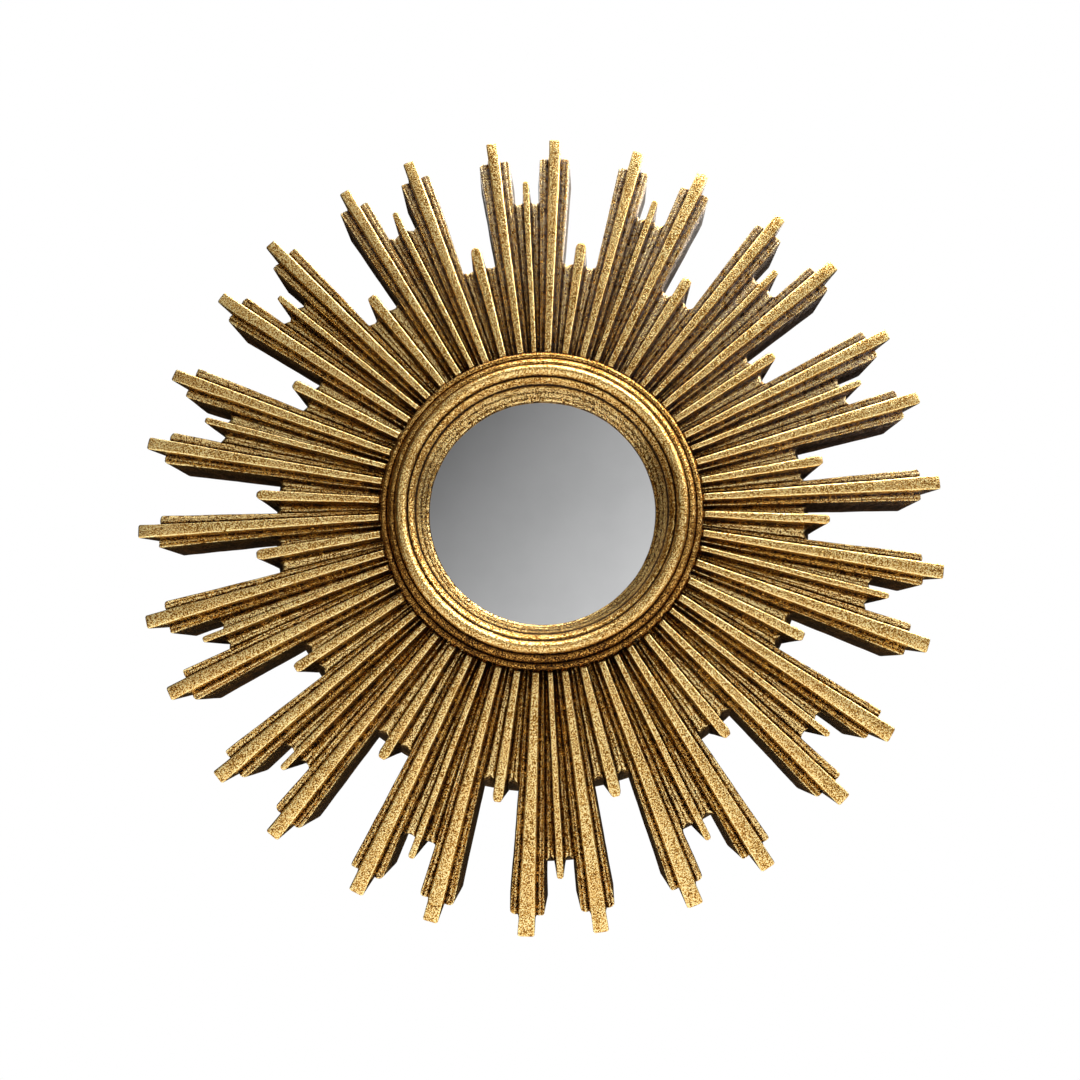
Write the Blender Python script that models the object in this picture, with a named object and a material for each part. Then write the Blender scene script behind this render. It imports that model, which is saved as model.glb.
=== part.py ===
"""A round wall mirror in a cast sunburst frame.

The frame is one casting: sixty rays of three lengths around a turned moulding, with a flat back.
The mirror's centre is at the origin, the wall is the plane y = 0 and the front looks along -Y.
Sizes are in metres. "Depth" is always measured from the flat back towards the front.
"""
import math

import bmesh
import bpy
from mathutils import Vector

# The clearance that touching pieces keep
FIT_GAP = 0.0003

# Glass and the board behind it
SIGHT_RADIUS = 0.0718
GLASS_LAP = 0.0042
GLASS_THICKNESS = 0.003
BOARD_THICKNESS = 0.015

# Turned moulding around the glass, member by member from the glass outwards
LIP_THICKNESS = 0.0016
COVE_WIDTH = 0.0066
BEAD_WIDTH = 0.0039
ROLL_WIDTH = 0.0081
INNER_REED_WIDTH = 0.0053
OUTER_REED_WIDTH = 0.0042
# How far the grooves beside the members stand above the faces of the rays
COVE_TOP_RISE = 0.0012
BEAD_TOP_RISE = 0.0048
ROLL_FOOT_RISE = 0.0044
REED_FOOT_RISE = 0.0016
MOULDING_EDGE_RISE = 0.0006
# How far each member's back bulges above the line between its two grooves
BEAD_BULGE = 0.0019
ROLL_BULGE = 0.0048
REED_BULGE = 0.0019

# Rays: tip radii, and the depth of their faces above the back
LONG_TIP_RADIUS = 0.250
MEDIUM_TIP_RADIUS = 0.2196
SHORT_TIP_RADIUS = 0.1782
FACE_DEPTH = 0.033

# Half widths of the raised bars, at the moulding and at the tip
LONG_ROOT_HALF = 0.0019
LONG_TIP_HALF = 0.0038
SHORT_ROOT_HALF = 0.0019
SHORT_TIP_HALF = 0.0034
MEDIUM_ROOT_HALF = 0.0014
MEDIUM_TIP_HALF = 0.0020
TIP_ROUNDING = 0.003
TIP_ROUND_SHARE = 0.5

# Groove and ledge on each side of a long bar
LEDGE_DROP = 0.0050
GROOVE_DROP = 0.0058
GROOVE_OFFSET = 0.0012
LEDGE_RISE_WIDTH = 0.0008
LEDGE_ROOT_OFFSET = 0.0048
LEDGE_END_OFFSET = 0.0101
LEDGE_SETBACK = 0.0100
TIP_UNDERCUT = 0.0020

# Web between a ledge and the next short or medium bar
WEB_DROP = 0.0100
WEB_MIDDLE_DROP = 0.0088
WEB_HOLLOW = 0.0025
WEB_WALL_FOOT = 0.0008
# How far short of the bar's tip the web ends, beside a medium and beside a short bar
WEB_SETBACK_MEDIUM = 0.0070
WEB_SETBACK_SHORT = 0.0090
# The web's end slopes outwards, so that at the flat back it ends this far short of the tip
WEB_FOOT_SETBACK = 0.0012
SIDE_DRAFT = 0.0016

# Layout of the rays around the circle, angles in degrees from the +X side
RAY_COUNT = 60
PAIR_LEAN = 0.68
# The rays were laid out by hand: slow drifts of their angle, as (waves round the circle, size, phase)
LAYOUT_DRIFTS = ((2, 0.63, 27.0), (4, 0.29, -174.0), (6, 0.22, 11.0))
# The long bars are heavier towards the bottom of the frame
HEAVY_SIDE_GAIN = 0.26
HEAVY_SIDE_ANGLE = -75.0

# Hanging strip and its pocket, on the centre line near the top
HANGER_HEIGHT_ABOVE_CENTRE = 0.121
HANGER_LENGTH = 0.046
HANGER_WIDTH = 0.009
HANGER_THICKNESS = 0.0012
HANGER_FOOT = 0.008
HANGER_RAMP = 0.002
TOOTH_COUNT = 9
TOOTH_DEPTH = 0.0016
POCKET_DEPTH = 0.0035
POCKET_MARGIN = 0.002
POCKET_NAIL_ROOM = 0.006

# Fineness of the faceted rounds
RING_SEGMENTS = 96
REED_STEPS = 3
ROLL_STEPS = 6
COVE_STEPS = 3
SHARP_ANGLE = math.radians(35.0)

# Sizes that follow from the ones above
COVE_OUTER = SIGHT_RADIUS + COVE_WIDTH
BEAD_OUTER = COVE_OUTER + BEAD_WIDTH
ROLL_OUTER = BEAD_OUTER + ROLL_WIDTH
INNER_REED_OUTER = ROLL_OUTER + INNER_REED_WIDTH
RING_RADIUS = INNER_REED_OUTER + OUTER_REED_WIDTH
GLASS_RADIUS = SIGHT_RADIUS + GLASS_LAP
REBATE_RADIUS = GLASS_RADIUS + FIT_GAP
GLASS_BACK_DEPTH = BOARD_THICKNESS + FIT_GAP
REBATE_DEPTH = GLASS_BACK_DEPTH + GLASS_THICKNESS + FIT_GAP
LIP_EDGE_DEPTH = REBATE_DEPTH + LIP_THICKNESS
LEDGE_END_RADIUS = LONG_TIP_RADIUS - LEDGE_SETBACK

LONG = "long"
MEDIUM = "medium"
SHORT = "short"
TIP_RADIUS = {LONG: LONG_TIP_RADIUS, MEDIUM: MEDIUM_TIP_RADIUS, SHORT: SHORT_TIP_RADIUS}
ROOT_HALF = {LONG: LONG_ROOT_HALF, MEDIUM: MEDIUM_ROOT_HALF, SHORT: SHORT_ROOT_HALF}
TIP_HALF = {LONG: LONG_TIP_HALF, MEDIUM: MEDIUM_TIP_HALF, SHORT: SHORT_TIP_HALF}
WEB_SETBACK = {MEDIUM: WEB_SETBACK_MEDIUM, SHORT: WEB_SETBACK_SHORT}


def clear_scene():
    for scene_object in list(bpy.data.objects):
        bpy.data.objects.remove(scene_object, do_unlink=True)


def make_material(name, colour, metallic, roughness):
    material = bpy.data.materials.new(name)
    material.use_nodes = True
    shader = material.node_tree.nodes["Principled BSDF"]
    shader.inputs["Base Color"].default_value = (*colour, 1.0)
    shader.inputs["Metallic"].default_value = metallic
    shader.inputs["Roughness"].default_value = roughness
    return material


def add_object(name, builder, material, location=(0.0, 0.0, 0.0)):
    """Turn a finished bmesh into a named object with smooth rounds and sharp corners."""
    bmesh.ops.recalc_face_normals(builder, faces=builder.faces)
    mesh = bpy.data.meshes.new(name)
    builder.to_mesh(mesh)
    builder.free()
    mesh.shade_smooth()
    mesh.set_sharp_from_angle(angle=SHARP_ANGLE)
    mesh.materials.append(material)
    made = bpy.data.objects.new(name, mesh)
    made.location = location
    bpy.context.collection.objects.link(made)
    return made


# Where the rays lie

def ray_kind(ray):
    """Long rays alternate with short and medium ones, mirrored about the level axis."""
    steps_from_axis = min(ray % RAY_COUNT, -ray % RAY_COUNT)
    if steps_from_axis % 2 == 0:
        return LONG
    return MEDIUM if steps_from_axis % 4 == 3 else SHORT


def ray_angle(ray):
    """Angle of a ray's centre line in radians: long rays lean towards the medium ray they flank."""
    even = 360.0 / RAY_COUNT * ray
    angle = even
    if ray_kind(ray) == LONG and ray_kind(ray - 1) != ray_kind(ray + 1):
        angle += PAIR_LEAN if ray_kind(ray + 1) == MEDIUM else -PAIR_LEAN
    for waves, size, phase in LAYOUT_DRIFTS:
        angle += size * math.sin(math.radians(waves * even + phase))
    return math.radians(angle)


def bar_half_width(ray, radius):
    """Half width of a ray's raised bar, straight from the moulding to the tip."""
    kind = ray_kind(ray)
    share = (radius - RING_RADIUS) / (TIP_RADIUS[kind] - RING_RADIUS)
    half = ROOT_HALF[kind] + (TIP_HALF[kind] - ROOT_HALF[kind]) * share
    if kind == LONG:
        heavy = math.cos(ray_angle(ray) - math.radians(HEAVY_SIDE_ANGLE))
        half *= 1.0 + HEAVY_SIDE_GAIN * share * (1.0 + heavy) / 2.0
    return half


def ledge_offset(radius):
    """Distance of a ledge's outer edge from the centre line of its long ray."""
    share = (radius - RING_RADIUS) / (LEDGE_END_RADIUS - RING_RADIUS)
    return LEDGE_ROOT_OFFSET + (LEDGE_END_OFFSET - LEDGE_ROOT_OFFSET) * share


def web_end(ray):
    """Radius where the webs beside a short or medium ray end, next to the bars."""
    return TIP_RADIUS[ray_kind(ray)] - WEB_SETBACK[ray_kind(ray)]


def web_foot(ray):
    """Radius where the same web ends at the flat back."""
    return TIP_RADIUS[ray_kind(ray)] - WEB_FOOT_SETBACK


class Line:
    """One line that runs outwards from the moulding, such as a bar's edge or a groove's bottom.

    Its points are top points, each with the point of the flat back that stands under it.
    """

    def __init__(self, tops, feet):
        self.tops = tops
        self.feet = feet


def polar(radius, angle, depth):
    return Vector((radius * math.cos(angle), -depth, radius * math.sin(angle)))


def line_beside(ray, side, offsets, radii, depth, foot_offsets, foot_radii):
    """A line on one side of a ray, from distances off the ray's centre line at the given radii."""
    centre = ray_angle(ray)
    tops = [polar(r, centre + side * off / r, depth) for r, off in zip(radii, offsets)]
    feet = [polar(r, centre + side * off / r, 0.0) for r, off in zip(foot_radii, foot_offsets)]
    return Line(tops, feet)


def long_ray_lines(ray, side):
    """The four lines of a long ray on one side: bar edge, groove, ledge's inner and outer edge."""
    corner = web_end(ray + side)
    ledge_radii = [RING_RADIUS, corner, LEDGE_END_RADIUS]
    ledge_feet = [RING_RADIUS, web_foot(ray + side), LEDGE_END_RADIUS]
    edge_radii = ledge_radii + [LONG_TIP_RADIUS]
    edge_feet = ledge_feet + [LEDGE_END_RADIUS + TIP_UNDERCUT]
    widths = [bar_half_width(ray, r) for r in edge_radii]
    foot_widths = [bar_half_width(ray, r) for r in edge_feet]
    edge = line_beside(ray, side, widths, edge_radii, FACE_DEPTH, foot_widths, edge_feet)
    lines = [edge]
    ledge_in = GROOVE_OFFSET + LEDGE_RISE_WIDTH
    for beside, drop in ((GROOVE_OFFSET, GROOVE_DROP), (ledge_in, LEDGE_DROP)):
        offsets = [w + beside for w in widths[:3]]
        foot_offsets = [w + beside for w in foot_widths[:3]]
        depth = FACE_DEPTH - drop
        lines.append(line_beside(ray, side, offsets, ledge_radii, depth, foot_offsets, ledge_feet))
    offsets = [ledge_offset(r) for r in ledge_radii]
    foot_offsets = [ledge_offset(r) + SIDE_DRAFT for r in ledge_feet]
    depth = FACE_DEPTH - LEDGE_DROP
    lines.append(line_beside(ray, side, offsets, ledge_radii, depth, foot_offsets, ledge_feet))
    return lines


def web_lines(long_ray, side):
    """The web's three lines, from the long ray's ledge to the foot of the next bar."""
    other = long_ray + side
    corner = web_end(other)
    radii = [RING_RADIUS, corner]
    foot_radii = [RING_RADIUS, web_foot(other)]
    depth = FACE_DEPTH - WEB_DROP
    near = [ledge_offset(r) + WEB_WALL_FOOT for r in radii]
    near_feet = [ledge_offset(r) + WEB_WALL_FOOT + SIDE_DRAFT for r in foot_radii]
    far = [bar_half_width(other, r) + WEB_WALL_FOOT for r in radii]
    far_feet = [bar_half_width(other, r) + WEB_WALL_FOOT + SIDE_DRAFT for r in foot_radii]
    by_ledge = line_beside(long_ray, side, near, radii, depth, near_feet, foot_radii)
    by_bar = line_beside(other, -side, far, radii, depth, far_feet, foot_radii)
    tops = [(a + b) / 2.0 for a, b in zip(by_ledge.tops, by_bar.tops)]
    feet = [(a + b) / 2.0 for a, b in zip(by_ledge.feet, by_bar.feet)]
    hollow = 1.0 - WEB_HOLLOW / corner
    rise = Vector((0.0, WEB_MIDDLE_DROP - WEB_DROP, 0.0))
    tops = [tops[0] + rise, Vector((tops[1].x * hollow, tops[1].y, tops[1].z * hollow)) + rise]
    return [by_ledge, Line(tops, feet), by_bar]


def short_bar_line(ray, side):
    """The edge of a short or medium bar: its tip is rounded off, its foot drafted outwards."""
    tip = TIP_RADIUS[ray_kind(ray)]
    radii = [RING_RADIUS, web_end(ray), tip - TIP_ROUNDING, tip]
    foot_radii = [RING_RADIUS, web_foot(ray), tip - WEB_FOOT_SETBACK / 2.0, tip]
    shares = (1.0, 1.0, 1.0, TIP_ROUND_SHARE)
    widths = [bar_half_width(ray, r) * s for r, s in zip(radii, shares)]
    foot_widths = [bar_half_width(ray, r) * s + SIDE_DRAFT for r, s in zip(foot_radii, shares)]
    return line_beside(ray, side, widths, radii, FACE_DEPTH, foot_widths, foot_radii)


def all_lines():
    """Every line round the circle in order, and how many stretches the strip after it has."""
    lines = []
    strips = []
    for long_ray in range(0, RAY_COUNT, 2):
        before = long_ray_lines(long_ray, -1)
        after = long_ray_lines(long_ray, 1)
        lines += before[::-1] + after
        strips += [2, 2, 2, 3, 2, 2, 2, 1]
        other = long_ray + 1
        lines += web_lines(long_ray, 1)
        strips += [1, 1, 1]
        lines += [short_bar_line(other, -1), short_bar_line(other, 1)]
        strips += [3, 1]
        lines += web_lines(long_ray + 2, -1)[::-1]
        strips += [1, 1, 1]
    return lines, strips


# The turned moulding

def arch(start, end, bulge, steps):
    """Points of a half-round member between two grooves, without its first point."""
    points = []
    for step in range(1, steps + 1):
        turn = math.pi * step / steps
        share = (1.0 - math.cos(turn)) / 2.0
        radius = start[0] + (end[0] - start[0]) * share
        depth = start[1] + (end[1] - start[1]) * share + bulge * math.sin(turn)
        points.append((radius, depth))
    return points


def moulding_profile():
    """The moulding's section as (radius, depth), from its outer edge in to the lip over the glass."""
    edge = (RING_RADIUS, FACE_DEPTH + MOULDING_EDGE_RISE)
    reed_foot = (INNER_REED_OUTER, FACE_DEPTH + REED_FOOT_RISE)
    roll_foot = (ROLL_OUTER, FACE_DEPTH + ROLL_FOOT_RISE)
    bead_top = (BEAD_OUTER, FACE_DEPTH + BEAD_TOP_RISE)
    cove_top = (COVE_OUTER, FACE_DEPTH + COVE_TOP_RISE)
    lip_edge = (SIGHT_RADIUS, LIP_EDGE_DEPTH)
    profile = [edge]
    profile += arch(edge, reed_foot, REED_BULGE, REED_STEPS)
    profile += arch(reed_foot, roll_foot, REED_BULGE, REED_STEPS)
    profile += arch(roll_foot, bead_top, ROLL_BULGE, ROLL_STEPS)
    profile += arch(bead_top, cove_top, BEAD_BULGE, REED_STEPS)
    for step in range(1, COVE_STEPS + 1):
        share = step / COVE_STEPS
        sweep = math.sin(share * math.pi / 2.0)
        radius = cove_top[0] + (lip_edge[0] - cove_top[0]) * share
        depth = cove_top[1] + (lip_edge[1] - cove_top[1]) * sweep
        profile.append((radius, depth))
    profile.append((SIGHT_RADIUS, REBATE_DEPTH))
    profile.append((REBATE_RADIUS, REBATE_DEPTH))
    profile.append((REBATE_RADIUS, 0.0))
    return profile


def ring_of_points(builder, radius, depth):
    turns = [2.0 * math.pi * i / RING_SEGMENTS for i in range(RING_SEGMENTS)]
    return [builder.verts.new(polar(radius, turn, depth)) for turn in turns]


def join_rings(builder, first, second):
    count = len(first)
    for i in range(count):
        following = (i + 1) % count
        builder.faces.new((first[i], first[following], second[following], second[i]))


def zip_loops(builder, fine, coarse):
    """Join two loops of points, both in order of angle, by single triangles."""
    def turn_of(vertex, start):
        return (math.atan2(vertex.co.z, vertex.co.x) - start) % (2.0 * math.pi)

    start = math.atan2(fine[0].co.z, fine[0].co.x)
    coarse_start = min(range(len(coarse)), key=lambda i: turn_of(coarse[i], start))
    coarse = coarse[coarse_start:] + coarse[:coarse_start]
    fine_turns = [turn_of(v, start) for v in fine] + [2.0 * math.pi]
    coarse_turns = [turn_of(v, start) for v in coarse] + [2.0 * math.pi + turn_of(coarse[0], start)]
    i = 0
    j = 0
    while i < len(fine) or j < len(coarse):
        fine_here = fine[i % len(fine)]
        coarse_here = coarse[j % len(coarse)]
        take_fine = j >= len(coarse) or (i < len(fine) and fine_turns[i + 1] <= coarse_turns[j + 1])
        if take_fine:
            i += 1
            builder.faces.new((fine_here, fine[i % len(fine)], coarse_here))
        else:
            j += 1
            builder.faces.new((fine_here, coarse[j % len(coarse)], coarse_here))


# The casting

def add_rays(builder):
    """The rays' top surface and outer walls. Returns the loop at the moulding and the back's edge."""
    lines, strips = all_lines()
    tops = [[builder.verts.new(point) for point in line.tops] for line in lines]
    feet = {}
    outline = []
    count = len(lines)
    for index in range(count):
        following = (index + 1) % count
        for row in range(strips[index]):
            corners = (tops[index][row], tops[index][row + 1],
                       tops[following][row + 1], tops[following][row])
            builder.faces.new(corners)
        row_before = strips[index - 1]
        row_after = strips[index]
        step = 1 if row_after >= row_before else -1
        for row in range(row_before, row_after + step, step):
            feet[(index, row)] = builder.verts.new(lines[index].feet[row])
            outline.append((index, row))
    for here, there in zip(outline, outline[1:] + outline[:1]):
        builder.faces.new((tops[here[0]][here[1]], tops[there[0]][there[1]], feet[there], feet[here]))
    return [line_tops[0] for line_tops in tops], [feet[key] for key in outline]


def pocket_corners():
    """Half length, bottom and top of the hanger's pocket."""
    half = HANGER_LENGTH / 2.0 + POCKET_MARGIN
    top = HANGER_HEIGHT_ABOVE_CENTRE + HANGER_WIDTH / 2.0 + POCKET_MARGIN
    bottom = HANGER_HEIGHT_ABOVE_CENTRE - HANGER_WIDTH / 2.0 - POCKET_NAIL_ROOM
    return half, bottom, top


def add_pocket(builder):
    half, bottom, top = pocket_corners()
    corners = ((-half, bottom), (half, bottom), (half, top), (-half, top))
    mouth = [builder.verts.new((x, 0.0, z)) for x, z in corners]
    floor = [builder.verts.new((x, -POCKET_DEPTH, z)) for x, z in corners]
    join_rings(builder, mouth, floor)
    builder.faces.new(floor)
    return mouth


def edges_round(loop):
    """The edges of a closed loop of points."""
    pairs = zip(loop, loop[1:] + loop[:1])
    return [next(e for e in here.link_edges if e.other_vert(here) is there) for here, there in pairs]


def build_frame(material):
    builder = bmesh.new()
    roots, back_edge = add_rays(builder)
    rings = [ring_of_points(builder, radius, depth) for radius, depth in moulding_profile()]
    zip_loops(builder, roots, rings[0])
    for outer, inner in zip(rings, rings[1:]):
        join_rings(builder, outer, inner)
    mouth = add_pocket(builder)
    rims = edges_round(back_edge) + edges_round(rings[-1]) + edges_round(mouth)
    bmesh.ops.triangle_fill(builder, use_beauty=True, edges=rims, normal=(0.0, 1.0, 0.0))
    return add_object("sunburst_frame", builder, material)


# The flat round pieces and the hanger

def build_disc(name, radius, thickness, back_depth, material):
    """A flat disc whose back face stands at the given depth above the wall plane."""
    builder = bmesh.new()
    back = ring_of_points(builder, radius, 0.0)
    front = ring_of_points(builder, radius, thickness)
    join_rings(builder, back, front)
    builder.faces.new(back)
    builder.faces.new(front)
    return add_object(name, builder, material, location=(0.0, -back_depth, 0.0))


def hanger_stations():
    """Along the strip: place, depth of its back face and height of its lower edge."""
    half = HANGER_LENGTH / 2.0
    foot_depth = POCKET_DEPTH - FIT_GAP - HANGER_THICKNESS
    bridge_depth = FIT_GAP
    bridge_half = half - HANGER_FOOT - HANGER_RAMP
    low = -HANGER_WIDTH / 2.0
    stations = [(-half, foot_depth, low), (-half + HANGER_FOOT, foot_depth, low)]
    pitch = 2.0 * bridge_half / TOOTH_COUNT
    for tooth in range(TOOTH_COUNT):
        root = -bridge_half + pitch * tooth
        stations.append((root, bridge_depth, low + TOOTH_DEPTH))
        stations.append((root + pitch / 2.0, bridge_depth, low))
    stations.append((bridge_half, bridge_depth, low + TOOTH_DEPTH))
    stations += [(half - HANGER_FOOT, foot_depth, low), (half, foot_depth, low)]
    return stations


def build_hanger(material):
    """A bent steel strip: two feet on the pocket's floor and a raised bridge with teeth below."""
    builder = bmesh.new()
    high = HANGER_WIDTH / 2.0
    sections = []
    for place, back_depth, low in hanger_stations():
        front_depth = back_depth + HANGER_THICKNESS
        corners = ((-back_depth, low), (-front_depth, low), (-front_depth, high), (-back_depth, high))
        sections.append([builder.verts.new((place, y, z)) for y, z in corners])
    for here, there in zip(sections, sections[1:]):
        join_rings(builder, here, there)
    builder.faces.new(sections[0])
    builder.faces.new(sections[-1])
    return add_object("saw_hanger", builder, material,
                      location=(0.0, 0.0, HANGER_HEIGHT_ABOVE_CENTRE))


def build_mirror():
    clear_scene()
    gilding = make_material("antique_gilding", (0.45, 0.28, 0.08), 0.8, 0.42)
    silvering = make_material("silvered_glass", (0.80, 0.81, 0.82), 1.0, 0.03)
    fibreboard = make_material("fibreboard", (0.24, 0.16, 0.10), 0.0, 0.85)
    steel = make_material("bright_steel", (0.56, 0.57, 0.58), 1.0, 0.35)
    build_frame(gilding)
    build_disc("mirror_glass", GLASS_RADIUS, GLASS_THICKNESS, GLASS_BACK_DEPTH, silvering)
    build_disc("back_board", GLASS_RADIUS, BOARD_THICKNESS, 0.0, fibreboard)
    build_hanger(steel)


build_mirror()
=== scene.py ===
# %% [markdown]
# # A sunburst wall mirror in antique gilding
#
# The mirror is a small round glass in a broad cast frame. Sixty raised bars of three lengths run
# outwards from a turned moulding, and stepped ledges and webs lie between them. The whole casting
# wears gold leaf that is rubbed bright on the high faces and left umber-dark in the grooves.
#
# The engineering model already holds the true outline, the steps and the mouldings as plain facets.
# In this lesson we lay a finer skin over that form, with softened edges and hand-worked
# unevenness, and then give every surface its finish.

# %% The tools and the fixed model
import math

import bmesh
import bpy
import numpy as np
from mathutils import Matrix, Vector, noise


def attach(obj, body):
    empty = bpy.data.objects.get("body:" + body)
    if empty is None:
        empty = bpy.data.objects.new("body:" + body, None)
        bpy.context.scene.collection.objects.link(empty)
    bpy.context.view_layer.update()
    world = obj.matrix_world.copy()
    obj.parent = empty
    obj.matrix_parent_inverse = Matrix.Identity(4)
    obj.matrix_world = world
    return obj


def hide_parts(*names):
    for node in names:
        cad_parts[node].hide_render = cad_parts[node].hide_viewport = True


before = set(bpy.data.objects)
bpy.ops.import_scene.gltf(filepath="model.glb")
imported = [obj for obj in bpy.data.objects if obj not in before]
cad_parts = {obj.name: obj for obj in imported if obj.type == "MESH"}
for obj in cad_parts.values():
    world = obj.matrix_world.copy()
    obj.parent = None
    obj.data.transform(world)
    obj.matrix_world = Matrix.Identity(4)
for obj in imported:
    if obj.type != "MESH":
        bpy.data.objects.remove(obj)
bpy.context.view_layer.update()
scene = bpy.context.scene

# %% [markdown]
# ## Sizes of the casting
#
# A finer skin must lie on the same form as the solid beneath it, so it is worked out from the same
# sizes: where the moulding's members meet, how long the rays are, how deep the grooves lie.
# Everything is in metres. "Depth" counts from the flat back towards the front, and a "drop" counts
# down from the bright faces of the bars. Only the sight opening differs: it is 0.8 mm wider in
# radius than the fixed model's lip, because a little more of the real glass shows.

# %% Sizes that the casting shares with the fixed model
SIGHT_RADIUS = 0.0726
COVE_OUTER = 0.0784
BEAD_OUTER = 0.0823
ROLL_OUTER = 0.0904
INNER_REED_OUTER = 0.0957
RING_RADIUS = 0.0999
GLASS_RADIUS = 0.0760
REBATE_RADIUS = 0.0763
GLASS_BACK_DEPTH = 0.0153
GLASS_THICKNESS = 0.003
REBATE_DEPTH = 0.0186
LIP_EDGE_DEPTH = 0.0202
FACE_DEPTH = 0.033

LONG = "long"
MEDIUM = "medium"
SHORT = "short"
RAY_COUNT = 60
TIP_RADIUS = {LONG: 0.250, MEDIUM: 0.2196, SHORT: 0.1782}
ROOT_HALF = {LONG: 0.0019, MEDIUM: 0.0014, SHORT: 0.0019}
TIP_HALF = {LONG: 0.0038, MEDIUM: 0.0020, SHORT: 0.0034}
WEB_END = {MEDIUM: 0.2126, SHORT: 0.1692}
WEB_FOOT = {MEDIUM: 0.2184, SHORT: 0.1770}
LEDGE_END_RADIUS = 0.240
TIP_FOOT_RADIUS = 0.242
SIDE_DRAFT = 0.0016
WEB_HOLLOW = 0.0025

# %% [markdown]
# ## Where the rays lie
#
# Long rays alternate with shorter ones. The pattern-maker set a medium ray between two long ones
# that lean towards it, then a short ray, and so on, mirrored about the level line. Nobody laid the
# rays out with a dividing head: their angles drift slowly round the circle, and every bar is a
# touch longer, wider or crooked. A few waves give the drift. A steady noise, read at a place of its
# own for each ray and each trait, gives the rest, so the frame comes out the same each time.

# %% Angles of the rays
PAIR_LEAN = 0.68
LAYOUT_DRIFTS = ((2, 0.63, 27.0), (4, 0.29, -174.0), (6, 0.22, 11.0))


def ray_kind(ray):
    steps_from_level = min(ray % RAY_COUNT, -ray % RAY_COUNT)
    if steps_from_level % 2 == 0:
        return LONG
    return MEDIUM if steps_from_level % 4 == 3 else SHORT


def ray_angle(ray):
    even = 360.0 / RAY_COUNT * ray
    angle = even
    if ray_kind(ray) == LONG and ray_kind(ray - 1) != ray_kind(ray + 1):
        angle += PAIR_LEAN if ray_kind(ray + 1) == MEDIUM else -PAIR_LEAN
    for waves, size, phase in LAYOUT_DRIFTS:
        angle += size * math.sin(math.radians(waves * even + phase))
    return math.radians(angle)


kinds = [ray_kind(ray) for ray in range(RAY_COUNT)]
print("rays:", {kind: kinds.count(kind) for kind in (LONG, MEDIUM, SHORT)})

# %% What the carver's hand changed from ray to ray
# Each trait has its place in the noise, its middle value and how far it strays.
HAND_TRAITS = {
    "bar width": (1, 1.0, 0.07),
    "bend": (2, 0.0, math.radians(0.10)),
    "long tip": (3, 0.0, 0.0007),
    "shorter tip": (3, 0.0, 0.0008),
    "ledge end": (4, 0.0, 0.0014),
    "finger length": (7, 1.15, 0.25),
    "finger bluntness": (8, 0.42, 0.22),
    "web hollow": (9, 1.0, 0.4),
    "ledge line": (12, 0.5, 0.5),
    "ledge corner": (14, 1.0, 0.5),
    "web line": (16, 0.5, 0.5),
}
RAY_STRIDE = 3.7
TRAIT_STRIDE = 5.3
NOISE_LEVEL = 0.5
NOISE_GAIN = 1.6


def by_hand(ray, trait, side=0):
    """The value of one trait of one ray, or of one of its two sides."""
    number, middle, stray = HAND_TRAITS[trait]
    spot = Vector((ray % RAY_COUNT * RAY_STRIDE, (number + side) * TRAIT_STRIDE, NOISE_LEVEL))
    return middle + stray * (noise.noise(spot) * NOISE_GAIN)


# %% Widths of bars and ledges
HEAVY_SIDE_GAIN = 0.26
HEAVY_SIDE_ANGLE = math.radians(-75.0)
LEDGE_ROOT_OFFSET = 0.0048
LEDGE_END_OFFSET = 0.0101


def bar_half_width(ray, radii):
    """Half widths of a ray's bright bar at the given radii."""
    kind = ray_kind(ray)
    share = np.clip((radii - RING_RADIUS) / (TIP_RADIUS[kind] - RING_RADIUS), 0.0, 1.0)
    half = ROOT_HALF[kind] + (TIP_HALF[kind] - ROOT_HALF[kind]) * share
    if kind == LONG:
        heavy = math.cos(ray_angle(ray) - HEAVY_SIDE_ANGLE)
        half = half * (1.0 + HEAVY_SIDE_GAIN * share * (1.0 + heavy) / 2.0)
    return half * by_hand(ray, "bar width")


def ledge_offset(radii):
    """How far a ledge's outer edge lies from the centre line of its long ray."""
    share = (radii - RING_RADIUS) / (LEDGE_END_RADIUS - RING_RADIUS)
    return LEDGE_ROOT_OFFSET + (LEDGE_END_OFFSET - LEDGE_ROOT_OFFSET) * np.clip(share, 0.0, 1.0)


print("a ledge ends", LEDGE_ROOT_OFFSET, "to", LEDGE_END_OFFSET, "off its ray's middle line")

# %% [markdown]
# ## The section across the rays
#
# Cut across a long ray and you meet, from its middle outwards: the bright bar with a softened edge,
# a steep wall down to a narrow groove, a rise to the ledge, the ledge's two low ridges with a fine
# line between them, and the ledge's outer edge. Beyond it lies the web, a low floor with a rib on
# each side of a scratch-like groove, and then the next bar rises. We write that section as two
# short lists for each side: how far off the centre line, and how far down. The lists are worked
# out at many radii at once, so each entry becomes one long line of points down the ray.

# %% Section lines beside a long ray, over a web and on a shorter bar
EDGE_SOFTNESS = 0.0010
SOFT_SHARE = 0.35
ROUND_TURNS = (0.0, math.radians(35.0), math.radians(65.0), math.radians(90.0))
WEB_DROP = 0.0100


def softened_edge(half):
    """Offsets and drops of a bar's top, from its centre line over the softened edge."""
    soft = np.minimum(EDGE_SOFTNESS, SOFT_SHARE * half)
    offsets = [0.0 * half]
    drops = [0.0 * half]
    for turn in ROUND_TURNS:
        offsets.append(half - soft + soft * math.sin(turn))
        drops.append(soft * (1.0 - math.cos(turn)))
    return offsets, drops


# Each wall line: how far beside the bar, how far down, and its tone. The near-black tones at the groove's
# floor are painted shade in the groove, with the umber glaze.
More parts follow.
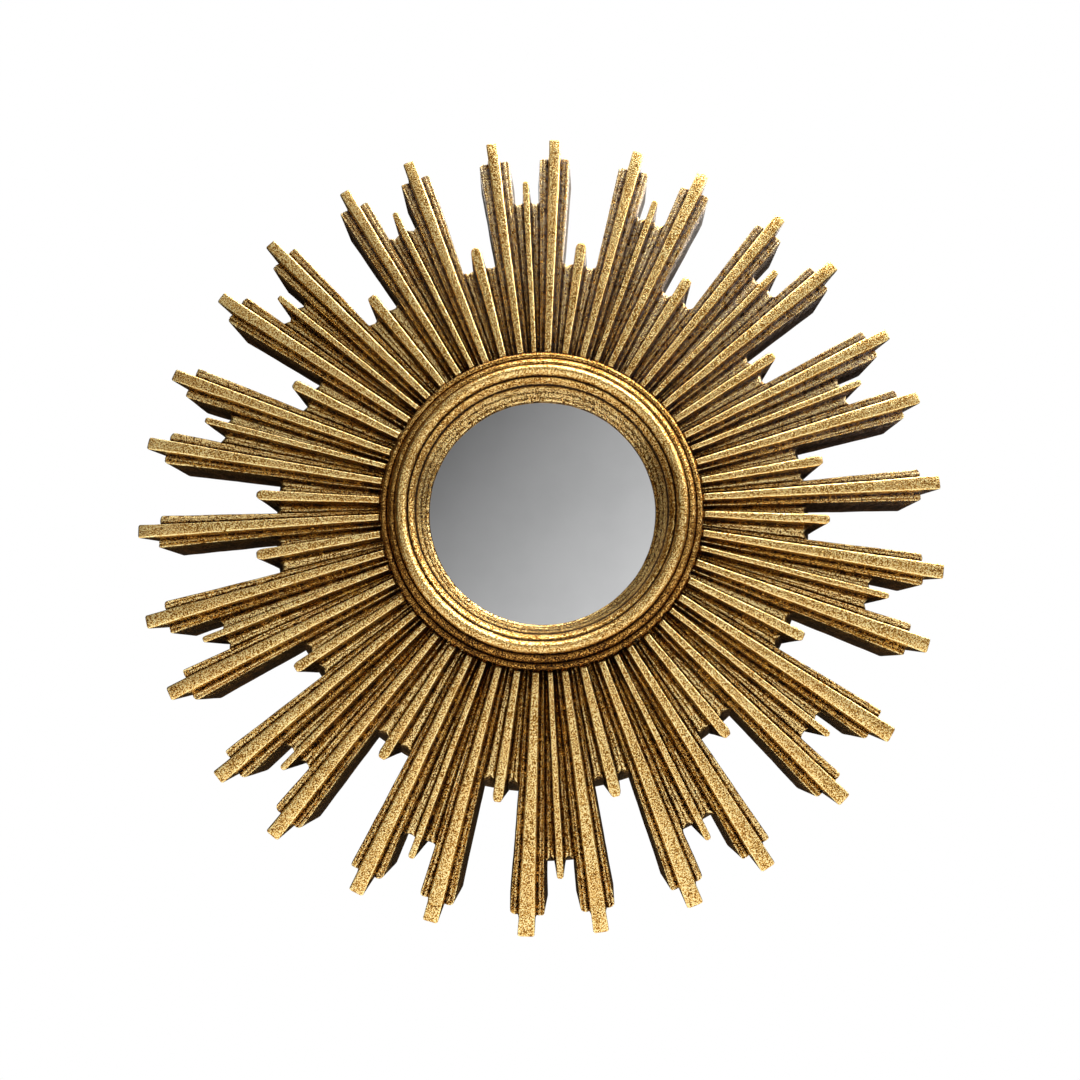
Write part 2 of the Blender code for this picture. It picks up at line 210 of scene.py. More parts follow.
WALL_LINES = ((0.0003, 0.0024, 0.56), (0.0006, 0.0042, 0.20), (0.0009, 0.0054, 0.02),
              (0.0012, 0.0056, 0.08), (0.0016, 0.0053, 0.74))
LEDGE_LINES = ((0.26, 0.0050, 0.82), (0.42, 0.0049, 0.88), (0.52, 0.0050, 0.84), (0.62, 0.0049, 0.90),
               (0.84, 0.0047, 0.98))
FINE_LINE = 2
FINE_LINE_DEPTH = 0.0007
FINE_LINE_SHADE = 0.45
LEAST_LEDGE = 0.0003
LEDGE_EDGE_LINES = ((-0.0005, 0.0046, 1.0), (-0.0001, 0.0049, 1.0), (0.0001, 0.0062, 0.34))
# Tones over the bar's top and softened edge. The pale 1.05 on the edge is a painted highlight line as well
# as the wear of the cloth.
BAR_TONES = (0.78, 0.84, 1.05, 1.05, 0.80)


def long_ray_section(ray, side, radii):
    """Offsets, drops and tones from a long ray's centre line to its ledge's outer edge."""
    half = bar_half_width(ray, radii)
    ledge = ledge_offset(radii)
    offsets, drops = softened_edge(half)
    tones = list(BAR_TONES)
    flat = np.ones_like(radii)
    for beside, drop, tone in WALL_LINES:
        offsets.append(half + beside)
        drops.append(drop * flat)
        tones.append(tone)
    inner = offsets[-1]
    wide = np.maximum(ledge - inner, LEAST_LEDGE)
    cut = by_hand(ray, "ledge line", side)
    for place, (share, drop, tone) in enumerate(LEDGE_LINES):
        fine = cut if place == FINE_LINE else 0.0
        offsets.append(inner + share * wide)
        drops.append((drop + FINE_LINE_DEPTH * fine) * flat)
        tones.append(tone - FINE_LINE_SHADE * fine)
    for beside, drop, tone in LEDGE_EDGE_LINES:
        offsets.append(ledge + beside)
        drops.append(drop * flat)
        tones.append(tone)
    return np.array(offsets), np.array(drops), tones


# Across the web: its lines' places, depths and tones. The near-black tones at both sides are painted shade
# in the creases at the walls' feet, with the umber.
WEB_SHARES = (0.0, 0.06, 0.15, 0.40, 0.49, 0.58, 0.85, 0.94, 1.0)
WEB_DROPS = (0.0096, 0.0098, 0.0091, 0.0088, 0.0088, 0.0087, 0.0090, 0.0098, 0.0096)
WEB_TONES = (0.00, 0.06, 0.86, 0.90, 0.84, 0.92, 0.82, 0.06, 0.00)
WEB_FINE_LINE = 4

# %% [markdown]
# ## Rows of points down the rays
#
# Each section line needs points at a set of radii. Long plain stretches need only a few, just
# enough to carry the hand-worked waviness; the ends need many close together, so that the rim of a
# web can droop and a bar's end can round over. One list of radii serves the whole frame, because
# neighbouring lines must have matching points.

# %% Radii of the rows
PLAIN_STEP = 0.0062
DROOP_STEPS = (0.0046, 0.0030, 0.0018, 0.0009, 0.0003)
ROUND_STEPS = (0.0012, 0.0007, 0.0003, 0.00008)


def rows_between(start, end, fine_steps):
    """Radii after start up to end: plain steps first, then the given last steps before the end."""
    plain_end = end - (fine_steps[0] if fine_steps else 0.0)
    count = max(1, round((plain_end - start) / PLAIN_STEP))
    plain = [start + (plain_end - start) * (i + 1) / count for i in range(count)]
    return plain + [end - step for step in fine_steps[1:]] + [end]


ROOT_STEPS = (0.0, 0.0004, 0.0010, 0.0020)
rows = [RING_RADIUS + step for step in ROOT_STEPS]
rows += rows_between(rows[-1], WEB_END[SHORT], DROOP_STEPS)
SHORT_WEB_ROW = len(rows) - 1
rows += rows_between(rows[-1], WEB_END[MEDIUM], DROOP_STEPS)
MEDIUM_WEB_ROW = len(rows) - 1
rows += rows_between(rows[-1], LEDGE_END_RADIUS, ROUND_STEPS)
LEDGE_ROW = len(rows) - 1
rows += rows_between(rows[-1], TIP_RADIUS[LONG], ROUND_STEPS)
TIP_ROW = len(rows) - 1
ROW_RADII = np.array(rows)
WEB_ROW = {SHORT: SHORT_WEB_ROW, MEDIUM: MEDIUM_WEB_ROW}
print("rows down a long ray:", len(rows))

# %% [markdown]
# ## Unevenness of the hand-worked pattern
#
# The frame was cast from a carved pattern, so no edge is quite straight and no face quite flat. Two
# sizes of smooth noise shift every point a fraction of a millimetre. The shift depends only on where
# the point is, so lines that meet stay together.

# %% A point of the casting, with its unevenness
WAVE_LENGTHS = ((0.016, 0.00022), (0.006, 0.00010))


def uneven(point):
    shift = Vector((0.0, 0.0, 0.0))
    for length, size in WAVE_LENGTHS:
        shift += noise.noise_vector(point / length) * size
    return shift


def polar(radius, angle, depth):
    return Vector((radius * math.cos(angle), -depth, radius * math.sin(angle)))


class Skin:
    """The casting's skin while it is being made: points, faces and a tone for each point, how rubbed it is,
    with painted shade laid into the hollows.
    """

    def __init__(self):
        self.points = []
        self.tones = []
        self.faces = []

    def add(self, point, tone, crooked=True):
        self.points.append(point + uneven(point) if crooked else point)
        self.tones.append(tone)
        return len(self.points) - 1

    def strip(self, here, there):
        """Faces between two lines of points that have the same number of points."""
        for i in range(len(here) - 1):
            self.faces.append((here[i], here[i + 1], there[i + 1], there[i]))

    def bands(self, rings):
        """Faces between closed rings, each joined to the next."""
        for here, there in zip(rings, rings[1:]):
            self.strip(here + here[:1], there + there[:1])


skin = Skin()

# %% [markdown]
# ## Laying out the lines
#
# For each long ray we make its lines from one ledge's outer edge to the other. For each shorter ray
# we make its bar. The webs join them. Where a bar meets the moulding it dips a little, which gives
# the dark seam that rings the moulding on the real frame; near the moulding the low places are
# also painted darker, a painted shade in that seam.

# %% Dips and rounds at the ends of the lines
ROOT_DIPS = (0.0024, 0.0016, 0.0005, 0.0)
LEAST_DIP = 0.15
BEND_RUN = 0.15


def root_dip(drops):
    """Deepen the first rows of a line, less where it already lies deep."""
    deep = np.array(drops, dtype=float)
    for row, dip in enumerate(ROOT_DIPS):
        deep[..., row] += dip * np.clip(1.0 - deep[..., row] / WEB_DROP, LEAST_DIP, 1.0)
    return deep


def end_round(distance, softness):
    """Extra drop near an end, from the distance to it."""
    near = np.clip(1.0 - distance / softness, 0.0, 1.0)
    return softness * (1.0 - np.sqrt(1.0 - near * near))


def plan_round(radii, tip, rounding, blunt):
    """How much of its width a bar keeps near its tip, which is rounded in plan."""
    turn = np.clip((radii - tip + rounding) / rounding, 0.0, 1.0)
    return np.sqrt(1.0 - (1.0 - blunt * blunt) * turn * turn)


def line_angle(ray, side, offset, radius):
    """The angle of a point beside a ray's centre line, which is slightly crooked."""
    bend = by_hand(ray, "bend") * (radius - RING_RADIUS) / BEND_RUN
    return ray_angle(ray) + bend + side * offset / radius


ROOT_SHADE = 0.34
ROOT_SHADE_REACH = 0.020
SHADED_DROP = 0.004


def shaded_tone(tone, drop, radius):
    """Painted shade in the seam by the moulding: the low places near it are darkened, more the deeper they
    lie.
    """
    near = max(0.0, 1.0 - (radius - RING_RADIUS) / ROOT_SHADE_REACH)
    return tone - ROOT_SHADE * near * min(1.0, drop / SHADED_DROP)


def lay_line(ray, side, offsets, drops, radii, tone):
    """Add one line of points beside a ray. Returns their numbers."""
    line = []
    for radius, offset, drop in zip(radii, offsets, drops):
        point = polar(radius, line_angle(ray, side, offset, radius), FACE_DEPTH - drop)
        line.append(skin.add(point, shaded_tone(tone, drop, radius)))
    return line


# %% Lines of a long ray
END_SOFTNESS = 0.0011
TIP_ROUND = 0.0012
TIP_BLUNTNESS = 0.80
CORNER_ROUND = 0.0024


def stretched(radii, first, last, new_end):
    """The rows after first up to last, stretched so that the last lies at new_end."""
    start = radii[first]
    share = (radii[first + 1:last + 1] - start) / (radii[last] - start)
    radii[first + 1:last + 1] = start + share * (new_end - start)


def corner_cut(offset, ledge, rounding):
    """How far a ledge line stops short, so that the ledge's outer corner is rounded in plan."""
    turn = np.clip((offset - ledge + rounding) / rounding, 0.0, 1.0)
    return rounding * (1.0 - math.sqrt(1.0 - turn * turn))


def long_ray_lines(ray):
    """A long ray's lines by side, its middle line, and the radii of every line's rows."""
    tip = TIP_RADIUS[LONG] + by_hand(ray, "long tip")
    bar = len(BAR_TONES)
    sides = {}
    side_radii = {}
    for side in (-1, 1):
        ledge_tip = LEDGE_END_RADIUS + by_hand(ray, "ledge end", side)
        rounding = CORNER_ROUND * by_hand(ray, "ledge corner", side)
        radii = ROW_RADII.copy()
        stretched(radii, MEDIUM_WEB_ROW, LEDGE_ROW, ledge_tip)
        stretched(radii, LEDGE_ROW, TIP_ROW, tip)
        offsets, drops, tones = long_ray_section(ray, side, radii)
        drops = root_dip(drops)
        offsets[:bar] *= plan_round(radii, tip, TIP_ROUND, TIP_BLUNTNESS)
        drops[:bar] += end_round(tip - radii, END_SOFTNESS)
        drops[bar:] += end_round(ledge_tip - radii, END_SOFTNESS)
        lines = []
        line_radii = []
        for place in range(1, len(tones)):
            last = TIP_ROW if place < bar else LEDGE_ROW
            own = radii.copy()
            if place >= bar:
                cut = corner_cut(offsets[place][LEDGE_ROW], offsets[-1][LEDGE_ROW], rounding)
                stretched(own, MEDIUM_WEB_ROW, LEDGE_ROW, ledge_tip - cut)
            lines.append(lay_line(ray, side, offsets[place][:last + 1], drops[place][:last + 1],
                                  own[:last + 1], tones[place]))
            line_radii.append(own)
        sides[side] = lines
        side_radii[side] = line_radii
    middle_radii = (side_radii[-1][0] + side_radii[1][0]) / 2.0
    middle_drops = root_dip(np.zeros_like(middle_radii)) + end_round(tip - middle_radii, END_SOFTNESS)
    middle = lay_line(ray, 1, np.zeros_like(middle_radii), middle_drops, middle_radii, BAR_TONES[0])
    return sides, middle, side_radii


# %% Lines of a short or medium ray's bar
FINGER_TURNS = (0.0, 20.0, 40.0, 58.0, 74.0, 90.0)


def short_bar_radii(ray):
    """Rows of a shorter bar: the shared ones up to the web's end, then its own to the tip."""
    kind = ray_kind(ray)
    tip = TIP_RADIUS[kind] + by_hand(ray, "shorter tip")
    rounding = TIP_HALF[kind] * by_hand(ray, "finger length")
    blunt = by_hand(ray, "finger bluntness")
    straight_end = tip - rounding
    start = WEB_END[kind]
    plain = [start + (straight_end - start) * share for share in (0.5, 1.0)]
    curved = [straight_end + rounding * math.sin(math.radians(turn)) for turn in FINGER_TURNS[1:]]
    radii = np.concatenate([ROW_RADII[:WEB_ROW[kind] + 1], plain, curved])
    return radii, tip, rounding, blunt


def short_bar_lines(ray):
    radii, tip, rounding, blunt = short_bar_radii(ray)
    offsets, drops = softened_edge(bar_half_width(ray, radii))
    offsets = np.array(offsets) * plan_round(radii, tip, rounding, blunt)
    drops = root_dip(np.array(drops)) + end_round(tip - radii, END_SOFTNESS)
    sides = {side: [lay_line(ray, side, offsets[i], drops[i], radii, BAR_TONES[i])
                    for i in range(1, len(BAR_TONES))] for side in (-1, 1)}
    middle = lay_line(ray, 1, offsets[0], drops[0], radii, BAR_TONES[0])
    return sides, middle


# %% Lines of the web between two bars
WEB_GAP = 0.0006
WEB_DROOP = 0.0046
WEB_DROOP_SHARE = 0.55
HOLLOW_POWER = 2.2
HOLLOW_RUN_POWER = 8
WEB_ROOT_DIP = ROOT_DIPS[0] * 0.3


def web_lines(long_ray, side):
    """The web's lines from the long ray's ledge to the foot of the next bar."""
    other = long_ray + side
    kind = ray_kind(other)
    radii = ROW_RADII[:WEB_ROW[kind] + 1]
    end = WEB_END[kind]
    near = ledge_offset(radii) + WEB_GAP
    far = bar_half_width(other, radii) + WEB_GAP
    run = (radii - RING_RADIUS) / (end - RING_RADIUS)
    droop = WEB_DROOP_SHARE * end_round(end - radii, WEB_DROOP)
    fine = by_hand(other, "web line", side)
    lines = []
    for place, (share, drop, tone) in enumerate(zip(WEB_SHARES, WEB_DROPS, WEB_TONES)):
        if place == WEB_FINE_LINE:
            drop += FINE_LINE_DEPTH * fine
            tone -= FINE_LINE_SHADE * fine
        hollow = WEB_HOLLOW * (1.0 - abs(2.0 * share - 1.0) ** HOLLOW_POWER) * by_hand(other, "web hollow")
        line = []
        for row, radius in enumerate(radii):
            r = radius - hollow * run[row] ** HOLLOW_RUN_POWER
            start = line_angle(long_ray, side, near[row], r)
            finish = line_angle(other, -side, far[row], r)
            angle = start + (finish - start) * share
            down = drop + droop[row] + (WEB_ROOT_DIP if row == 0 else 0.0)
            line.append(skin.add(polar(r, angle, FACE_DEPTH - down), shaded_tone(tone, down, r)))
        lines.append(line)
    return lines


# %% The frame's edge and the feet of its walls
WEB_FOOT_MARGIN = 0.04


class Boundary:
    """The frame's edge as it is walked: point numbers with the foot that stands under each."""

    def __init__(self):
        self.tops = []
        self.feet = []

    def offset(self, number, ray):
        """How far a point lies off its ray's centre line."""
        top = skin.points[number]
        radius = math.hypot(top.x, top.z)
        lean = math.atan2(top.z, top.x) - line_angle(ray, 1, 0.0, radius)
        return ((lean + math.pi) % (2.0 * math.pi) - math.pi) * radius

    def step(self, number, ray, foot_radius, draft):
        offset = self.offset(number, ray)
        foot_angle = line_angle(ray, 1, offset + math.copysign(draft, offset), foot_radius)
        self.stand(number, polar(foot_radius, foot_angle, 0.0))

    def stand(self, number, foot):
        self.tops.append(number)
        self.feet.append(foot)

    def walk_side(self, path, ray, side, tip_number, tip_foot):
        """Walk one side of a ray's end. The middle of the tip comes between the two sides."""
        if side == 1:
            self.step(tip_number, ray, tip_foot, 0.0)
            path.reverse()
        for number, foot_radius, draft in path:
            self.step(number, ray, foot_radius, draft)

    def walk_web(self, lines, ray, side):
        """Walk along a web's end. Its feet lie evenly between those of its two neighbours."""
        other = ray + side
        radius = WEB_FOOT[ray_kind(other)]
        start = line_angle(ray, side, ledge_offset(radius) + SIDE_DRAFT, radius)
        finish = line_angle(other, -side, bar_half_width(other, radius) + SIDE_DRAFT, radius)
        for line, share in list(zip(lines, WEB_SHARES))[::side]:
            within = WEB_FOOT_MARGIN + (1.0 - 2.0 * WEB_FOOT_MARGIN) * share
            self.stand(line[-1], polar(radius, start + (finish - start) * within, 0.0))


def remap(value, low, high, new_low, new_high):
    return new_low + (new_high - new_low) * (value - low) / (high - low)


def walk_long_ray(edge, ray, sides, middle, side_radii):
    """Walk round a long ray's end, from the web on its left to the web on its right."""
    bar = len(BAR_TONES) - 1
    for side in (-1, 1):
        kind = ray_kind(ray + side)
        first = WEB_ROW[kind]
        ledge_lines = list(zip(sides[side], side_radii[side]))[bar:]
        outer_line, radii = ledge_lines.pop()
        flank = [(outer_line[row],
                  remap(radii[row], radii[first], radii[LEDGE_ROW], WEB_FOOT[kind], radii[LEDGE_ROW]))
                 for row in range(first, LEDGE_ROW + 1)]
        ledge_end = [(line[LEDGE_ROW], line_radii[LEDGE_ROW]) for line, line_radii in ledge_lines[::-1]]
        radii = side_radii[side][bar - 1]
        tip_side = [(sides[side][bar - 1][row],
                     remap(radii[row], radii[LEDGE_ROW], radii[TIP_ROW], radii[LEDGE_ROW], TIP_FOOT_RADIUS))
                    for row in range(LEDGE_ROW, TIP_ROW + 1)]
        tip_end = [(line[TIP_ROW], TIP_FOOT_RADIUS) for line in sides[side][bar - 2::-1]]
        path = [(n, r, SIDE_DRAFT) for n, r in flank + ledge_end]
        path += [(n, r, 0.0) for n, r in tip_side + tip_end]
        edge.walk_side(path, ray, side, middle[TIP_ROW], TIP_FOOT_RADIUS)


def walk_short_bar(edge, ray, sides, middle):
    kind = ray_kind(ray)
    first = WEB_ROW[kind]
    last = len(middle) - 1
    tip = TIP_RADIUS[kind]
    for side in (-1, 1):
        outer = sides[side][-1]
        path = [(outer[row], WEB_FOOT[kind] + (tip - WEB_FOOT[kind]) * (row - first) / (last - first),
                 SIDE_DRAFT) for row in range(first, last + 1)]
        widest = abs(edge.offset(outer[last], ray))
        for line in sides[side][-2::-1]:
            path.append((line[last], tip, SIDE_DRAFT * abs(edge.offset(line[last], ray)) / widest))
        edge.walk_side(path, ray, side, middle[last], tip)


# %% Lay every line and close the strips between them
roots = []
edge = Boundary()
long_rays = {ray: long_ray_lines(ray) for ray in range(0, RAY_COUNT, 2)}
short_rays = {ray: short_bar_lines(ray) for ray in range(1, RAY_COUNT, 2)}


def join_lines(lines):
    for here, there in zip(lines, lines[1:]):
        count = min(len(here), len(there))
        skin.strip(here[:count], there[:count])


for ray in range(0, RAY_COUNT, 2):
    sides, middle, side_radii = long_rays[ray]
    other = ray + 1
    other_sides, other_middle = short_rays[other]
    following = long_rays[(ray + 2) % RAY_COUNT]
    across = sides[-1][::-1] + [middle] + sides[1]
    first_web = web_lines(ray, 1)
    bar_across = other_sides[-1][::-1] + [other_middle] + other_sides[1]
    second_web = web_lines(ray + 2, -1)[::-1]
    join_lines(across + first_web)
    last = WEB_ROW[ray_kind(other)]
    skin.strip(first_web[-1], bar_across[0][:last + 1])
    join_lines(bar_across)
    skin.strip(bar_across[-1][:last + 1], second_web[0])
    join_lines(second_web + [following[0][-1][-1]])
    walk_long_ray(edge, ray, sides, middle, side_radii)
    edge.walk_web(first_web, ray, 1)
    walk_short_bar(edge, other, other_sides, other_middle)
    edge.walk_web(second_web[::-1], ray + 2, -1)
    roots += [line[0] for line in across + first_web + bar_across + second_web]
print("points on the rays:", len(skin.points), "round the edge:", len(edge.tops))

# %% [markdown]
# ## Outer walls and flat back
#
# The walls run from the edge of the section down to the flat back. They are the sides that slid out
# of the mould: slightly swollen here and there, and never rubbed. We could pull the edge straight
# down, but three rings between let each wall swell and grow darker towards the back.

# %% Walls
WALL_STAGES = ((0.04, 0.26), (0.30, 0.10), (0.68, 0.06))
WALL_SWELL = 0.0005
SWELL_WAVE = 0.018
BACK_TONE = 0.1

walls = [edge.tops]
for share, tone in WALL_STAGES:
    ring = []
    for number, foot in zip(edge.tops, edge.feet):
        point = skin.points[number].lerp(foot, share)
        outward = Vector((point.x, 0.0, point.z)).normalized()
        swell = WALL_SWELL * math.sin(math.pi * share) * noise.noise(point / SWELL_WAVE)
        ring.append(skin.add(point + outward * swell, tone, crooked=False))
    walls.append(ring)
walls.append([skin.add(foot, BACK_TONE, crooked=False) for foot in edge.feet])
skin.bands(walls)
back_edge = walls[-1]
print("points round the flat back:", len(back_edge))

# %% [markdown]
# ## The turned moulding
#
# The moulding was turned on a lathe before the rays were set around it. From the outside in: two
# reeds, a fat roll, a small bead, and a cove that falls to the lip over the glass in three hollow
# treads, with a steep riser above each, painted dark as painted shade. A lathe section is a list of
# radius and depth, swept round in fine steps. The outer members are painted darker on the lower
# left, a painted shade on the side turned away from the light.

# %% Section of the reeds, the roll and the bead
# The tone falls steeply into each groove between the members: umber there, with painted shade in the
# groove.
GROOVE_CUT = 0.0005
GROOVE_TONE = -0.62
GROOVE_SLOPE = 2.3
# Each groove between the members: its radius and how far it stands over the bars' faces.
GROOVES = ((RING_RADIUS, 0.0006), (INNER_REED_OUTER, 0.0016), (ROLL_OUTER, 0.0044),
           (BEAD_OUTER, 0.0048), (COVE_OUTER, 0.0012))
# Each member: its bulge, its steps and its brightest tone.
MEMBERS = {"outer reed": (0.0021, 10, 0.56), "inner reed": (0.0021, 10, 0.56),
           "roll": (0.0049, 16, 0.80), "bead": (0.0020, 10, 0.66)}


def half_round(start, end, bulge, steps, bright):
    """Points of a half-round member after its first groove: radius, depth and tone."""
    points = []
    for step in range(1, steps + 1):
        turn = math.pi * step / steps
        share = (1.0 - math.cos(turn)) / 2.0
        radius = start[0] + (end[0] - start[0]) * share
        depth = start[1] + (end[1] - start[1]) * share + bulge * math.sin(turn)
        points.append((radius, depth, min(bright, GROOVE_TONE + GROOVE_SLOPE * math.sin(turn))))
    radius, depth, tone = points[-1]
    points[-1] = (radius, depth - GROOVE_CUT, tone)
    return points


grooves = [(radius, FACE_DEPTH + rise) for radius, rise in GROOVES]
moulding = [(*grooves[0], 0.0)]
for start, end, (name, member) in zip(grooves, grooves[1:], MEMBERS.items()):
    moulding += half_round(start, end, *member)
    print(f"{name}: {1000.0 * (start[0] - end[0]):.1f} mm wide")

# %% Section of the cove and the lip
# The risers' low tone is painted shade on the steep step above each tread.
RISER_WIDTH = 0.0003
RISER_TONE = 0.10
TREAD_STEPS = 5
TREAD_HOLLOW = 0.0003
TREAD_TONE = 0.40
TREAD_GAIN = 0.36
TREAD_TURN = 0.8
TREADS = ((0.0764, 0.0278, 0.0052), (0.0744, 0.0227, 0.0043), (SIGHT_RADIUS, LIP_EDGE_DEPTH, 0.0018))
LIP_POINT = (SIGHT_RADIUS - 0.0001, LIP_EDGE_DEPTH - 0.0006, 0.3)
REBATE_POINTS = ((SIGHT_RADIUS, REBATE_DEPTH, BACK_TONE), (REBATE_RADIUS, REBATE_DEPTH, BACK_TONE),
                 (REBATE_RADIUS, 0.0, BACK_TONE))


def cove_section(top):
    """Each tread is given by the radius and depth of its inner end and by how far it falls."""
    points = []
    radius, depth = top
    for end_radius, end_depth, fall in TREADS:
        foot = radius - RISER_WIDTH
        points.append((foot, end_depth + fall, RISER_TONE))
        for step in range(1, TREAD_STEPS + 1):
            share = step / TREAD_STEPS
            hollow = TREAD_HOLLOW * math.sin(math.pi * share)
            points.append((foot + (end_radius - foot) * share, end_depth + fall * (1.0 - share) - hollow,
                           TREAD_TONE + TREAD_GAIN * math.sin(math.pi * share * TREAD_TURN)))
        radius = end_radius
    return points


moulding += cove_section(grooves[-1])
moulding += [LIP_POINT, *REBATE_POINTS]

# %% Sweep the section round
RING_SEGMENTS = 280
# Painted shade: the outer members are darkened on the lower left, the side turned away from the light.
SHADED_SIDE = math.radians(255.0)
SIDE_SHADE_DEPTH = 0.24


def full_turn(segments):
    return [2.0 * math.pi * i / segments for i in range(segments)]


rings = []
for place, (radius, depth, tone) in enumerate(moulding):
    uneven_here = place < len(moulding) - len(REBATE_POINTS)
    # Painted shade on the lower left of the members outside the roll.
    side_shade = SIDE_SHADE_DEPTH if radius > ROLL_OUTER else 0.0
    rings.append([skin.add(polar(radius, turn, depth), tone - side_shade * max(0.0, math.cos(turn - SHADED_SIDE)),
                           crooked=uneven_here) for turn in full_turn(RING_SEGMENTS)])
skin.bands(rings)


# %% Join the rays to the moulding
def zip_rings(fine, coarse):
    """Join two rings of points, both in order of angle, by triangles."""
    def turn_of(number, start):
        point = skin.points[number]
        return (math.atan2(point.z, point.x) - start) % (2.0 * math.pi)

    first = skin.points[fine[0]]
    start = math.atan2(first.z, first.x)
    opening = min(range(len(coarse)), key=lambda i: turn_of(coarse[i], start))
    coarse = coarse[opening:] + coarse[:opening]
    fine_turns = [turn_of(n, start) for n in fine] + [2.0 * math.pi]
    coarse_turns = [turn_of(n, start) for n in coarse]
    coarse_turns.append(2.0 * math.pi + coarse_turns[0])
    i = 0
    j = 0
    while i < len(fine) or j < len(coarse):
        corners = (fine[i % len(fine)], coarse[j % len(coarse)])
        if j >= len(coarse) or (i < len(fine) and fine_turns[i + 1] <= coarse_turns[j + 1]):
            i += 1
            skin.faces.append((corners[0], fine[i % len(fine)], corners[1]))
        else:
            j += 1
            skin.faces.append((corners[0], coarse[j % len(coarse)], corners[1]))


zip_rings(roots, rings[0])
print("points with the moulding:", len(skin.points))

# %% [markdown]
# ## One closed mesh
#
# The flat back has a shallow pocket for the hanging strip. Blender's triangle fill closes the back
# between the outer edge, the hole of the glass and the pocket. The tone that we kept for each
# point becomes an attribute that the gilding reads: 1 where a gilder's cloth rubs, 0 in the depths,
# where the umber and painted shade lie together.

# %% Pocket in the back
HANGER_HEIGHT = 0.121
HANGER_LENGTH = 0.046
HANGER_WIDTH = 0.009
POCKET_DEPTH = 0.0035
POCKET_GAP = 0.002
NAIL_ROOM = 0.006
POCKET_HALF = HANGER_LENGTH / 2.0 + POCKET_GAP
POCKET_TOP = HANGER_HEIGHT + HANGER_WIDTH / 2.0 + POCKET_GAP
POCKET_BOTTOM = HANGER_HEIGHT - HANGER_WIDTH / 2.0 - NAIL_ROOM

pocket_corners = ((-POCKET_HALF, POCKET_BOTTOM), (POCKET_HALF, POCKET_BOTTOM),
                  (POCKET_HALF, POCKET_TOP), (-POCKET_HALF, POCKET_TOP))
mouth = [skin.add(Vector((x, 0.0, z)), BACK_TONE, crooked=False) for x, z in pocket_corners]
bed = [skin.add(Vector((x, -POCKET_DEPTH, z)), BACK_TONE, crooked=False) for x, z in pocket_corners]
skin.bands([mouth, bed])
skin.faces.append(tuple(bed))
print("half length of the strip's pocket:", POCKET_HALF)

# %% Close the back and make the frame's mesh
FILL_SCALE = 1000.0


def close_back(mesh, rims):
    """Fill the flat back between closed rings of point numbers.

    The fill skips corners that lie a few hundredths of a unit apart, so it works in millimetres.
    """
    builder = bmesh.new()
    builder.from_mesh(mesh)
    builder.verts.ensure_lookup_table()
    places = [point.co.copy() for point in builder.verts]
    for point in builder.verts:
        point.co *= FILL_SCALE
    edges = []
    for rim in rims:
        for here, there in zip(rim, rim[1:] + rim[:1]):
            edges.append(builder.edges.get((builder.verts[here], builder.verts[there])))
    bmesh.ops.triangle_fill(builder, use_beauty=True, edges=edges, normal=(0.0, 1.0, 0.0))
    for point, place in zip(builder.verts, places):
        point.co = place
    bmesh.ops.recalc_face_normals(builder, faces=builder.faces)
    open_edges = sum(1 for e in builder.edges if len(e.link_faces) != 2)
    builder.to_mesh(mesh)
    builder.free()
    print("open edges:", open_edges)


frame_mesh = bpy.data.meshes.new("gilded_frame")
frame_mesh.from_pydata([tuple(p) for p in skin.points], [], skin.faces)
# The tone holds the wiping of the glaze together with painted shade in the grooves and creases.
rubbed_and_shaded = frame_mesh.attributes.new("rubbed_and_shaded", "FLOAT", "POINT")
rubbed_and_shaded.data.foreach_set("value", skin.tones)
close_back(frame_mesh, [back_edge, rings[-1], mouth])
frame_mesh.calc_loop_triangles()
print("triangles in the frame:", len(frame_mesh.loop_triangles))

# %% [markdown]
# ## Finishes from noise, not from pictures
#
# Every finish here is built from Blender's noise, so it holds up close to any side. A few short
# helpers keep the node trees readable: they add a node, feed its sockets, mix two colours, remap a
# value, or work with two values. The last helper puts a finished mesh in the scene.

# %% Helpers for materials
def new_finish(name):
    material = bpy.data.materials.new(name)
    material.use_nodes = True
    tree = material.node_tree
    return material, tree, tree.nodes["Principled BSDF"]


def feed(tree, made, inputs):
    """Put plain values on a node's sockets, or link other nodes' outputs to them."""
    for name, value in inputs.items():
        if isinstance(value, bpy.types.NodeSocket):
            tree.links.new(value, made.inputs[name])
        else:
            made.inputs[name].default_value = value


def add_node(tree, kind, inputs=None, **settings):
    made = tree.nodes.new("ShaderNode" + kind)
    for name, value in settings.items():
        setattr(made, name, value)
    feed(tree, made, inputs or {})
    return made


def object_place(tree):
    return add_node(tree, "TexCoord").outputs["Object"]


def noise_of(tree, place, scale, detail=2.0, roughness=0.5):
    made = add_node(tree, "TexNoise", {"Vector": place, "Scale": scale, "Detail": detail,
                                       "Roughness": roughness})
    return made.outputs["Fac"]


def remapped(tree, value, low, high, new_low=0.0, new_high=1.0):
    made = add_node(tree, "MapRange", {"Value": value, "From Min": low, "From Max": high,
                                       "To Min": new_low, "To Max": new_high})
    return made.outputs["Result"]


def worked(tree, operation, first, second, clamp=False):
    return add_node(tree, "Math", {0: first, 1: second}, operation=operation, use_clamp=clamp).outputs[0]


def times(tree, product, *others):
    for other in others:
        product = worked(tree, "MULTIPLY", product, other)
    return product


def toward(tree, place, way):
    """How far a place or a direction lies along the given way."""
    return add_node(tree, "VectorMath", {0: place, 1: way}, operation="DOT_PRODUCT").outputs["Value"]


# %% Helpers for colours, bumps and pieces
SMOOTH_LIMIT = math.radians(50.0)


